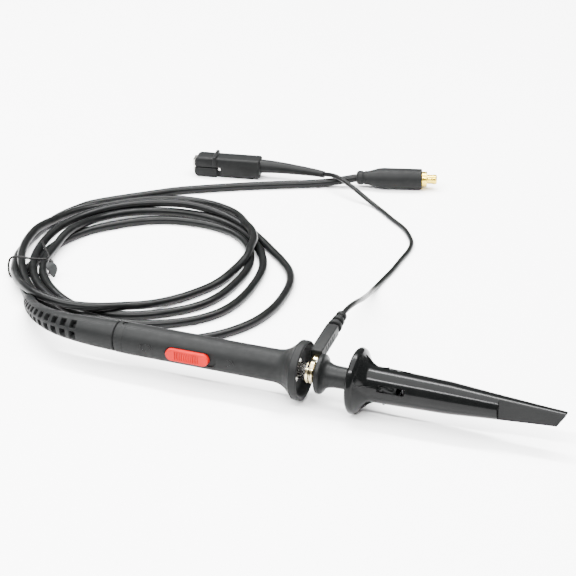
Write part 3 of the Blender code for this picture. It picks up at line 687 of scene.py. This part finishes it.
def make_grip():
    """Hollow grip with its finger guard, the slider's window and the trimmer's hole."""
    outer = [
        (COLLAR_END_X + FACE_GAP, GRIP_RADIUS),
        (-20.0, GRIP_RADIUS),
        (-8.6, GRIP_RADIUS + 0.1),
        (-6.6, 5.95),
        (-4.6, 6.9),
        (-2.9, 8.3),
        (-1.7, 9.55),
        (-1.3, GUARD_RADIUS),
        (1.1, GUARD_RADIUS),
        (GUARD_HALF_WIDTH, 9.5),
    ]
    inner = [
        (0.9, 8.7),
        (-1.4, 7.5),
        (-2.8, 4.6),
        (-3.4, 3.2),
        (-8.6, 3.2),
        (-9.0, BORE_RADIUS),
        (COLLAR_END_X + FACE_GAP, BORE_RADIUS),
    ]
    grip = lathe("grip", [*outer, *inner], PROBE, rounding=0.7)
    window_length = SLIDER_LENGTH + SLIDER_TRAVEL + 0.6
    window_depth = 1.0
    cutter_depth = 4.0
    window = slab_mesh(stadium_outline(window_length, SLIDER_WIDTH + 0.5), cutter_depth)
    window_y = window_depth - GRIP_RADIUS - cutter_depth / 2
    window_place = PROBE @ shift((SLIDER_X + SLIDER_TRAVEL / 2, window_y, 0))
    hole_start_y = 3.0
    hole_radius = 1.3
    hole_depth = 6
    hole = lathe_mesh([(0, 0), (0, hole_radius), (hole_depth, hole_radius), (hole_depth, 0)],
                      SMALL_STEPS)
    hole_place = PROBE @ shift((TRIMMER_X, hole_start_y, 0)) @ turn_about("Z", 90)
    combine(grip, [(window, window_place), (hole, hole_place)], "DIFFERENCE")
    finish_piece(grip, GRIP_PLASTIC, "probe", "black_grip", "grip_shell")


def make_collar():
    """Collar that ends the grip, with a narrower neck that fills the seam behind it."""
    neck_x = SEAM_X - 0.25
    neck_radius = 4.7
    bore_radius = 3.4
    outer = [
        (neck_x, neck_radius),
        (SEAM_X + 0.3, neck_radius),
        (SEAM_X + 0.35, GRIP_RADIUS - 0.1),
        (COLLAR_END_X, GRIP_RADIUS - 0.02),
    ]
    inner = [(COLLAR_END_X, bore_radius), (neck_x, bore_radius)]
    collar = lathe("collar", [*outer, *inner], PROBE, rounding=0.15)
    notch = block_mesh((COLLAR_END_X - 1.5, -0.9, 5.0), (COLLAR_END_X + 0.5, 0.9, 6.0))
    combine(collar, [(notch, PROBE)], "DIFFERENCE")
    finish_piece(collar, GRIP_PLASTIC, "probe", "black_grip", "rear_collar")


def make_slider():
    """Red slider with a row of grooves across its face."""
    thickness = 2.4
    front = -(GRIP_RADIUS + 0.7)
    outline = stadium_outline(SLIDER_LENGTH, SLIDER_WIDTH)
    place = PROBE @ shift((SLIDER_X, front + thickness / 2, 0))
    slider = add_object("slider", slab_mesh(outline, thickness, 0.45), place)
    groove_count = 11
    groove_pitch = 0.82
    tools = []
    for i in range(groove_count):
        x = (i - (groove_count - 1) / 2) * groove_pitch
        groove = block_mesh((-0.2, -0.35, -1.6), (0.2, 0.35, 1.6), 0.12, 2)
        tools.append((groove, PROBE @ shift((SLIDER_X + x, front, 0))))
    combine(slider, tools, "DIFFERENCE")
    finish_piece(slider, RED_PLASTIC, "switch", "red_plastic", "attenuator_slider")


def make_mark(text, centre_x):
    """A small raised number, upside down to the viewer, that follows the grip's round side."""
    curve = bpy.data.curves.new("mark", "FONT")
    curve.body = text
    curve.size = MARK_SIZE * MM
    curve.extrude = MARK_THICKNESS * MM
    curve.align_x = "CENTER"
    curve.align_y = "CENTER"
    guide = add_object("guide", curve, Matrix.Identity(4))
    depsgraph = bpy.context.evaluated_depsgraph_get()
    mesh = bpy.data.meshes.new_from_object(guide.evaluated_get(depsgraph))
    bpy.data.objects.remove(guide, do_unlink=True)
    for vertex in mesh.vertices:
        turn = MARK_TURN - vertex.co.y / (GRIP_RADIUS * MM)
        radius = GRIP_RADIUS * MM + vertex.co.z
        vertex.co = (-vertex.co.x, -radius * math.cos(turn), radius * math.sin(turn))
    mark = add_object("mark_" + text, mesh, PROBE @ shift((centre_x, 0, 0)))
    finish_piece(mark, MARK_PLASTIC, "probe", "black_grip")


# ---------------------------------------------------------------- strain relief

def slot_share(distance, half_length, slope):
    """1 inside a slot, 0 outside it, and a short slope at its edge."""
    return min(1.0, max(0.0, (half_length - distance) / slope + 0.5))


def boot_radius(along, total):
    """Radius of the strain relief at a distance along its centre line."""
    count = len(BOOT_PATH) - 1
    just_inside = 0.0001
    place = min(along / total * count, count - just_inside)
    leg = int(place)
    t = place - leg
    return BOOT_PATH[leg][3] * (1 - t) + BOOT_PATH[leg + 1][3] * t


def make_strain_relief():
    """Tapered rubber boot with staggered rows of slots."""
    spacing = 0.16
    sides = 150
    start_rounding = 0.5
    end_rounding = 0.4
    slot_end_slope = 0.25       # millimetres
    slot_side_slope = 3.0       # degrees
    path = smooth_path([p[:3] for p in BOOT_PATH], spacing)
    total = path_length(path)
    last_slot = BOOT_SLOT_FIRST + (BOOT_SLOT_STATIONS - 1) * BOOT_SLOT_PITCH

    def radius_at(index, turn):
        along = index * spacing
        radius = boot_radius(along, total)
        if along < start_rounding:
            radius -= start_rounding * (1 - along / start_rounding) ** 2
        if along > total - end_rounding:
            radius -= end_rounding * (1 - (total - along) / end_rounding) ** 2
        if along < BOOT_SLOT_FIRST - BOOT_SLOT_PITCH or along > last_slot + BOOT_SLOT_PITCH:
            return radius
        station = round((along - BOOT_SLOT_FIRST) / BOOT_SLOT_PITCH)
        station = min(max(station, 0), BOOT_SLOT_STATIONS - 1)
        distance = abs(along - BOOT_SLOT_FIRST - station * BOOT_SLOT_PITCH)
        aside = min(abs((math.degrees(turn) - row + 180) % 360 - 180) for row in BOOT_SLOT_ROWS)
        lengthwise = slot_share(distance, BOOT_SLOT_LENGTH / 2, slot_end_slope)
        around = slot_share(aside, BOOT_SLOT_HALF_WIDTH, slot_side_slope)
        return radius - BOOT_SLOT_DEPTH * radius * lengthwise * around

    boot = add_object("strain_relief", swept_mesh(path, radius_at, sides), PROBE)
    shade(boot, angle=50)
    finish_piece(boot, BOOT_RUBBER, "probe", "black_rubber", "strain_relief_boot")


# ---------------------------------------------------------------- hook tip

def make_hook_barrel():
    """Rear flange and neck of the hook tip, and the barrel that the sleeve slides on."""
    profile = [
        (5.9, 3.1),
        (5.9, 6.0),
        (6.3, 6.75),
        (7.4, 6.75),
        (7.9, 6.3),
        (8.3, 5.4),
        (9.0, 4.6),
        (10.2, 4.05),
        (12.0, 3.75),
        (18.0, 3.65),
        (31.0, 3.6),
        (31.0, 1.9),
        (17.0, 1.9),
        (16.4, 3.1),
    ]
    barrel = lathe("hook_barrel", profile, PROBE, rounding=0.5)
    finish_piece(barrel, NECK_RUBBER, "hook", "black_rubber", "hook_inner_barrel")


def latch_frame(index):
    """Frame of one latch: X along the probe and Z outward from its axis."""
    elevation = LATCH_FIRST + 360 / LATCH_COUNT * index
    return PROBE @ turn_about("X", 90 - elevation)


def latch_cutters(place):
    """Shallow recess of one latch, and the window at its front end."""
    half_width = 1.15
    recess = block_mesh((27.9, -half_width, 5.2), (37.1, half_width, 8.0), 0.15)
    window = block_mesh((34.2, -half_width, 2.0), (37.1, half_width, 8.0))
    return [(recess, place), (window, place)]


def latch_additions(place):
    """Tongue and catch of one latch, and the rib that stiffens the flange behind it."""
    tongue = block_mesh((28.2, -0.75, 4.6), (33.6, 0.75, 5.65), 0.15)
    catch = slab_mesh([(28.3, 5.4), (29.0, 6.3), (29.5, 6.3), (30.2, 5.4)], 1.3, 0.1)
    rib = slab_mesh([(20.0, 5.0), (19.6, 10.4), (20.8, 9.9), (24.3, 6.9), (26.1, 5.9),
                     (26.1, 5.0)], 0.6, 0.12)
    return [(tongue, place), (catch, place), (rib, place)]


def blade_cutters():
    """What is cut off the sleeve's front: both flats, the hook's slot and the slanted end."""
    reach = 7.0
    half_end = 4.0
    cutters = []
    for side in (1, -1):
        low_y, high_y = sorted((side * BLADE_HALF_WIDTH, side * reach))
        flat = block_mesh((BLADE_START_X, low_y, -reach), (HOOK_TIP_X + 4, high_y, reach), 0.5)
        cutters.append((flat, PROBE))
    slot = block_mesh((81.8, -0.75, -5.0), (HOOK_TIP_X + 1, 0.75, 0.9))
    cutters.append((slot, PROBE))
    slant = math.radians(BLADE_SLANT)
    end_x = HOOK_TIP_X + half_end / math.cos(slant) - TIP_RADIUS * math.tan(slant)
    end = block_mesh((-half_end, -half_end, -8), (half_end, half_end, 8))
    cutters.append((end, PROBE @ shift((end_x, 0, 0)) @ turn_about("Y", BLADE_SLANT)))
    return cutters


def make_hook_sleeve():
    """Glossy sleeve with its pull flange, latch windows and flat-sided blade."""
    profile = [
        (HOOK_FLANGE_X + 1.2, 4.6),
        (HOOK_FLANGE_X + 0.9, 6.4),
        (HOOK_FLANGE_X + 0.1, 7.6),
        (HOOK_FLANGE_X, 9.4),
        (HOOK_FLANGE_X + 0.35, 10.7),
        (HOOK_FLANGE_X + 1.0, HOOK_FLANGE_RADIUS),
        (HOOK_FLANGE_X + 2.0, 11.1),
        (HOOK_FLANGE_X + 2.7, 10.6),
        (21.6, 9.0),
        (22.7, 7.5),
        (23.6, 6.5),
        (24.6, 6.05),
        (34.0, 5.85),
        (51.0, 5.35),
        (64.4, 4.3),
        (81.0, 3.15),
        (HOOK_TIP_X, TIP_RADIUS),
        (HOOK_TIP_X, 0.9),
        (63.0, 0.9),
        (62.5, 3.5),
        (48.0, 4.0),
        (HOOK_FLANGE_X + 1.8, 4.2),
    ]
    sleeve = lathe("hook_cover", profile, PROBE, rounding=0.9)
    cutters = blade_cutters()
    additions = []
    for index in range(LATCH_COUNT):
        place = latch_frame(index)
        cutters += latch_cutters(place)
        additions += latch_additions(place)
    combine(sleeve, cutters, "DIFFERENCE")
    combine(sleeve, additions, "UNION")
    finish_piece(sleeve, GLOSS_PLASTIC, "sleeve", "gloss_black", "hook_sleeve")


# ---------------------------------------------------------------- ground lead's fittings

def make_ring_clip():
    """Sprung contact ring with a strap that runs up into the lead's boot."""
    profile = [(2.2, 3.3), (2.4, 3.9), (2.9, 3.55), (3.4, 3.55), (3.7, 3.9), (4.2, 3.55),
               (4.7, 3.55), (5.0, 3.9), (5.2, 3.3), (5.2, 3.1), (2.2, 3.1)]
    ring = lathe("contact_ring", profile, PROBE, rounding=0.15)
    opening = block_mesh((1, -2.2, -6), (7, 0.6, -1))
    combine(ring, [(opening, PROBE)], "DIFFERENCE")
    strap_path = smooth_path(
        [(3.6, -2.3, 2.7), (3.6, -0.6, 3.75), (3.6, 1.4, 3.9), (3.6, 3.2, 4.4), (3.6, 6.0, 4.9)],
        0.3)
    strap_half_width = 1.1
    strap = swept_mesh(strap_path, lambda index, turn: strap_half_width, sides=24, flatten=0.25)
    combine(ring, [(strap, PROBE)], "UNION")
    finish_piece(ring, PALE_GOLD, "probe", "gold_plate", "ground_ring_clip")


def lead_boot_ribs():
    """Neck at the end of the lead's boot, with three ribs that get smaller."""
    neck_radius = 1.35
    rib_pitch = 3.1
    start_x = LEAD_BOOT_LENGTH - 1.0
    profile = [(start_x, 0), (start_x, neck_radius + 0.1)]
    for i, radius in enumerate((2.5, 2.2, 1.9)):
        x = LEAD_BOOT_LENGTH + 0.9 + rib_pitch * i
        profile += [(x, neck_radius), (x + 0.15, radius), (x + 1.7, radius),
                    (x + 1.85, neck_radius)]
    end_x = profile[-1][0] + 0.8
    profile += [(end_x, neck_radius - 0.1), (end_x, 0)]
    return lathe_mesh(fillet(profile, 0.35), SMALL_STEPS)


def make_lead_boot():
    """Moulded block on the ring's strap, with slanted grip grooves and three ribs."""
    half = 2.1
    outline = [(0.0, -half), (LEAD_BOOT_LENGTH, -half + 0.2), (LEAD_BOOT_LENGTH, half),
               (-0.6, half)]
    boot = add_object("lead_boot", slab_mesh(outline, 2 * half, 0.45), LEAD_BOOT)
    groove_count = 5
    groove_pitch = 1.9
    first_groove_x = 3.6
    grooves = []
    for i in range(groove_count):
        for side in (1, -1):
            groove = block_mesh((-0.36, -0.6, -1.4), (0.36, 0.6, 1.4), 0.15, 2)
            x = first_groove_x + groove_pitch * i
            place = LEAD_BOOT @ shift((x, side * (half + 0.1), -0.1))
            grooves.append((groove, place @ turn_about("Y", 30)))
    combine(boot, grooves, "DIFFERENCE")
    combine(boot, [(lead_boot_ribs(), LEAD_BOOT)], "UNION")
    finish_piece(boot, LEAD_RUBBER, "probe", "black_rubber", "ground_lead_boot")


# ---------------------------------------------------------------- plug

def make_plug_grip():
    """Moulded grip of the plug, with a ring groove where the coax goes in."""
    profile = [
        (0.0, COAX_RADIUS), (0.1, 2.1), (0.7, 2.8), (2.5, 2.85), (2.8, 2.5), (3.2, 2.5),
        (3.5, 2.8), (4.6, 2.75), (6.6, 3.3), (8.8, 3.95), (11.0, 4.2), (26.3, 4.1),
        (26.5, 3.4), (24.2, 3.35), (24.2, 1.4), (0.0, 1.4)]
    grip = lathe("plug_grip", profile, PLUG, rounding=0.5)
    return finish_piece(grip, BOOT_RUBBER, "probe", "black_rubber", "plug_overmould")


def make_plug_shell():
    """Gold shell of the plug: a flange and a thinner barrel with four slits."""
    profile = [
        (24.0, 1.1), (24.4, 3.0), (PLUG_FLANGE_X, 3.05), (PLUG_FLANGE_X + 0.05, 1.8),
        (30.4, 1.8), (31.0, 1.95), (31.9, 1.95), (32.4, 1.6), (32.4, 1.35), (24.8, 1.35)]
    shell = lathe("plug_shell", profile, PLUG, rounding=0.2, steps=SMALL_STEPS)
    slit_count = 4
    slits = []
    for index in range(slit_count):
        slit = block_mesh((PLUG_FLANGE_X + 0.6, -0.14, 0.6), (34, 0.14, 3.0))
        slits.append((slit, PLUG @ turn_about("X", 45 + 360 / slit_count * index)))
    combine(shell, slits, "DIFFERENCE")
    return finish_piece(shell, GOLD, "probe", "gold_plate", "plug_body")


# ---------------------------------------------------------------- ground clip

def make_clip_top():
    """Fixed upper half of the clip's cover, with its finger ridge and cable tail."""
    side_view = [
        (CLIP_MOUTH_X, 2.8), (CLIP_MOUTH_X + 1.5, CLIP_TOP_Z), (CLIP_REAR_X, CLIP_TOP_Z),
        (CLIP_REAR_X, -3.4), (-2.4, -3.6), (-2.4, 0.0), (CLIP_MOUTH_X, 0.0)]
    cover = add_object("clip_cover_top", slab_mesh(side_view, CLIP_WIDTH, 0.9), CLIP)
    ridge = block_mesh((-5.4, -4.2, 0.8), (-3.9, 4.2, 5.1), 0.45)
    tail_start_radius = 3.0
    tail_taper = 1.65
    tail_path = smooth_path(CLIP_TAIL_PATH, 0.8)
    last = len(tail_path) - 1
    tail = swept_mesh(tail_path,
                      lambda index, turn: tail_start_radius - tail_taper * index / last)
    combine(cover, [(ridge, CLIP), (tail, CLIP)], "UNION")
    cavity = block_mesh((CLIP_MOUTH_X - 1.0, -2.8, -5.3), (12.4, 2.8, 3.3))
    combine(cover, [(cavity, CLIP)], "DIFFERENCE")
    return finish_piece(cover, LEAD_RUBBER, "probe", "black_rubber", "clip_cover_upper")


def make_clip_bottom():
    """Lower half of the cover, which turns with its jaw, and its thumb lever."""
    side_view = [
        (CLIP_MOUTH_X, -0.15), (CLIP_MOUTH_X, -2.9), (CLIP_MOUTH_X + 1.3, -4.2), (-3.6, -4.2),
        (-3.6, -0.15)]
    cover = add_object("clip_cover_bottom", slab_mesh(side_view, CLIP_WIDTH, 0.7), CLIP)
    hollow = block_mesh((CLIP_MOUTH_X - 3.2, -2.3, -3.0), (-3.4, 2.3, 0.5))
    combine(cover, [(hollow, CLIP)], "DIFFERENCE")
    lever_view = [(-4.7, -4.15), (11.2, -4.15), (11.2, -2.9), (-4.7, -1.9)]
    combine(cover, [(slab_mesh(lever_view, 5.0, 0.2), CLIP)], "UNION")
    channel = block_mesh((-5.2, -1.9, -3.15), (12.8, 1.9, 0.45))
    combine(cover, [(channel, CLIP)], "DIFFERENCE")
    return finish_piece(cover, LEAD_RUBBER, "clip_lever", "black_rubber", "clip_cover_lower")


# ---------------------------------------------------------------- coil tie

TIE_INNER = band_radius(COIL_INNER, TIE_ANGLE)
TIE_OUTER = band_radius(COIL_OUTER, TIE_ANGLE)
TIE_MIDDLE = (TIE_INNER + TIE_OUTER) / 2
TIE_TOP = COIL_HEIGHT + 0.2


def tie_point(radius, rise, aside):
    """Point at the tie: radius from the coil's centre, rise from the table, and sideways."""
    turn = math.radians(TIE_ANGLE)
    outward = Vector((math.cos(turn), math.sin(turn), 0))
    along = Vector((-math.sin(turn), math.cos(turn), 0))
    return Vector((COIL_X, COIL_Y, TABLE_Z + rise)) + outward * radius + along * aside


def make_tie_wire():
    """Wire of the tie: one end stands up, and the rest is a loop round the coil."""
    wire_radius = 0.42
    loop = [
        (TIE_INNER + 1.6, TIE_TOP + 5.0, -4.0),
        (TIE_INNER + 0.8, TIE_TOP + 2.6, -1.9),
        (TIE_INNER + 0.1, TIE_TOP + 0.4, 0.6),
        (TIE_INNER + 1.8, TIE_TOP + 0.5, 2.4),
        (TIE_MIDDLE + 0.8, TIE_TOP + 0.6, 0.7),
        (TIE_OUTER - 0.9, TIE_TOP + 0.5, -2.2),
        (TIE_OUTER + 1.6, TIE_TOP - 0.2, -3.1),
        (TIE_OUTER + 2.7, TIE_TOP - 2.9, -2.4),
        (TIE_OUTER + 2.4, 0.6, 0.6),
        (TIE_OUTER - 1.5, 0.5, 1.6),
        (TIE_MIDDLE, 0.5, 1.8),
        (TIE_INNER + 2.0, 0.5, 2.2),
        (TIE_INNER - 0.9, 1.6, 2.4),
        (TIE_INNER - 1.0, TIE_TOP - 1.4, 2.8),
        (TIE_INNER - 0.2, TIE_TOP + 0.5, 3.6),
        (TIE_INNER + 0.3, TIE_TOP + 0.3, 4.4),
    ]
    path = smooth_path([tie_point(*p) for p in loop], 0.5)
    mesh = swept_mesh(path, lambda index, turn: wire_radius, sides=16)
    wire = add_object("coil_tie_wire", mesh, PROBE)
    shade(wire)
    return finish_piece(wire, TIE_PLASTIC, "probe", "black_cable", "coil_tie")


def make_tie_flag():
    """Flattened end of the tie, which hangs down inside the coil."""
    line = [
        (TIE_INNER + 0.5, TIE_TOP, 4.2),
        (TIE_INNER + 0.3, TIE_TOP - 1.2, 5.2),
        (TIE_INNER - 0.4, TIE_TOP - 2.2, 5.4),
        (TIE_INNER - 0.5, TIE_TOP - 3.8, 6.1),
        (TIE_INNER - 0.7, 1.0, 6.4),
    ]
    path = smooth_path([tie_point(*p) for p in line], 0.3)
    last = len(path) - 1

    def half_width(index, turn):
        return 0.4 + 1.6 * math.sin(math.pi * min(1.0, 0.1 + 0.9 * index / last))

    mesh = swept_mesh(path, half_width, sides=20, flatten=0.2)
    flag = add_object("coil_tie_flag", mesh, PROBE)
    shade(flag)
    finish_piece(flag, FLAG_PLASTIC, "probe", "black_cable")


# ---------------------------------------------------------------- materials of the model

DULL = {"Specular_IOR_Level": 0.10}     # plastics whose highlights are faint
GRIP_PLASTIC = moulded(
    "grip_plastic", (0.0036, 0.0039, 0.0039), (0.0048, 0.0051, 0.0051), roughness=(0.50, 0.60),
    grain=0.16, height=0.012, **DULL)
BOOT_RUBBER = moulded(
    "boot_rubber", (0.0032, 0.0035, 0.0035), (0.0043, 0.0046, 0.0046), roughness=(0.50, 0.60),
    grain=0.2, height=0.012, **DULL)
NECK_RUBBER = moulded(
    "neck_rubber", (0.0032, 0.0035, 0.0035), (0.0043, 0.0046, 0.0046), roughness=(0.38, 0.48),
    grain=0.2, height=0.008, **DULL)
LEAD_RUBBER = moulded(
    "lead_rubber", (0.0038, 0.0041, 0.0041), (0.0050, 0.0053, 0.0053), roughness=(0.46, 0.56),
    grain=0.2, height=0.01, **DULL)
CABLE = moulded(
    "cable_jacket", (0.0020, 0.0022, 0.0022), (0.0030, 0.0032, 0.0032), roughness=(0.30, 0.38),
    grain=0.25, height=0.006, **DULL)
GLOSS_PLASTIC = moulded(
    "gloss_plastic", (0.0018, 0.0020, 0.0020), (0.0024, 0.0026, 0.0026), roughness=(0.13, 0.17),
    grain=0.6, height=0.003, **DULL)
RED_PLASTIC = moulded(
    "red_plastic", (0.26, 0.0006, 0.0003), (0.31, 0.0010, 0.0005), roughness=(0.42, 0.5),
    grain=0.2, height=0.006, **DULL)
MARK_PLASTIC = moulded(
    "mark_plastic", (0.0020, 0.0020, 0.0020), (0.0030, 0.0030, 0.0030), roughness=(0.3, 0.36),
    grain=0.2, height=0.004, **DULL)
TIE_PLASTIC = moulded(
    "tie_plastic", (0.0040, 0.0040, 0.0040), (0.0060, 0.0060, 0.0060), roughness=(0.4, 0.5),
    grain=0.2, height=0.008, **DULL)
FLAG_PLASTIC = moulded(
    "flag_plastic", (0.016, 0.017, 0.017), (0.024, 0.025, 0.025), roughness=(0.4, 0.5),
    grain=0.3, height=0.01, **DULL)
WHITE_PLASTIC = moulded(
    "white_plastic", (0.74, 0.74, 0.71), (0.8, 0.8, 0.78), roughness=(0.35, 0.45),
    grain=0.3, height=0.006)
BOARD = moulded(
    "board", (0.02, 0.16, 0.05), (0.03, 0.2, 0.07), roughness=(0.35, 0.5),
    grain=0.4, height=0.01)
CERAMIC = moulded(
    "ceramic", (0.48, 0.35, 0.22), (0.56, 0.42, 0.27), roughness=(0.5, 0.6),
    grain=0.3, height=0.01)
GOLD = metal("gold", (0.56, 0.40, 0.035), (0.66, 0.49, 0.06), roughness=(0.18, 0.30))
NICKEL = metal("nickel", (0.62, 0.6, 0.56), (0.72, 0.7, 0.66), roughness=(0.18, 0.3))
PALE_GOLD = metal("pale_gold", (0.50, 0.42, 0.24), (0.66, 0.58, 0.36), roughness=(0.12, 0.24))
STEEL = metal("steel", (0.5, 0.5, 0.5), (0.6, 0.6, 0.6), roughness=(0.25, 0.38))
BRASS = metal("brass", (0.68, 0.48, 0.2), (0.76, 0.56, 0.26), roughness=(0.25, 0.36))
COPPER = metal("copper", (0.7, 0.36, 0.22), (0.78, 0.42, 0.27), roughness=(0.3, 0.4))

CAD_MATERIALS = {
    "clip_jaw_upper": NICKEL,
    "clip_jaw_lower": NICKEL,
    "clip_pivot_pin": STEEL,
    "clip_spring": STEEL,
    "ground_barrel": NICKEL,
    "probe_needle": NICKEL,
    "nose_insulator": WHITE_PLASTIC,
    "plug_insulator": WHITE_PLASTIC,
    "plug_pin": GOLD,
    "hook_wire": NICKEL,
    "hook_spring": STEEL,
    "hook_socket": BRASS,
    "slider_carrier": WHITE_PLASTIC,
    "switch_contacts": BRASS,
    "circuit_board": BOARD,
    "divider_resistor": CERAMIC,
    "shunt_capacitor": CERAMIC,
    "trimmer_body": WHITE_PLASTIC,
    "trimmer_rotor": BRASS,
    "crimp_ferrule": BRASS,
    "signal_wire": COPPER,
}


def dress_cad_nodes():
    """Give every CAD node that stays shown its finished material."""
    for name, material in CAD_MATERIALS.items():
        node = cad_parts[name]
        node.data.materials.clear()
        node.data.materials.append(material)


def shown_names(pieces, *nodes):
    """Names of the pieces at a cord's far end: visual ones, and CAD nodes that stay shown."""
    return [piece.name for piece in pieces] + list(nodes)


make_camera()
plug_pieces = shown_names([make_plug_grip(), make_plug_shell()], "plug_insulator", "plug_pin")
clip_pieces = shown_names([make_clip_top(), make_clip_bottom()], "clip_jaw_upper",
                          "clip_jaw_lower", "clip_pivot_pin", "clip_spring")
tie_wire = make_tie_wire()
make_tie_flag()
make_coax()
make_ground_lead()
make_grip()
make_collar()
make_slider()
for mark_text, mark_x in MARKS:
    make_mark(mark_text, mark_x)
make_strain_relief()
make_hook_barrel()
make_hook_sleeve()
make_ring_clip()
make_lead_boot()
dress_cad_nodes()
make_floor()
make_lights()
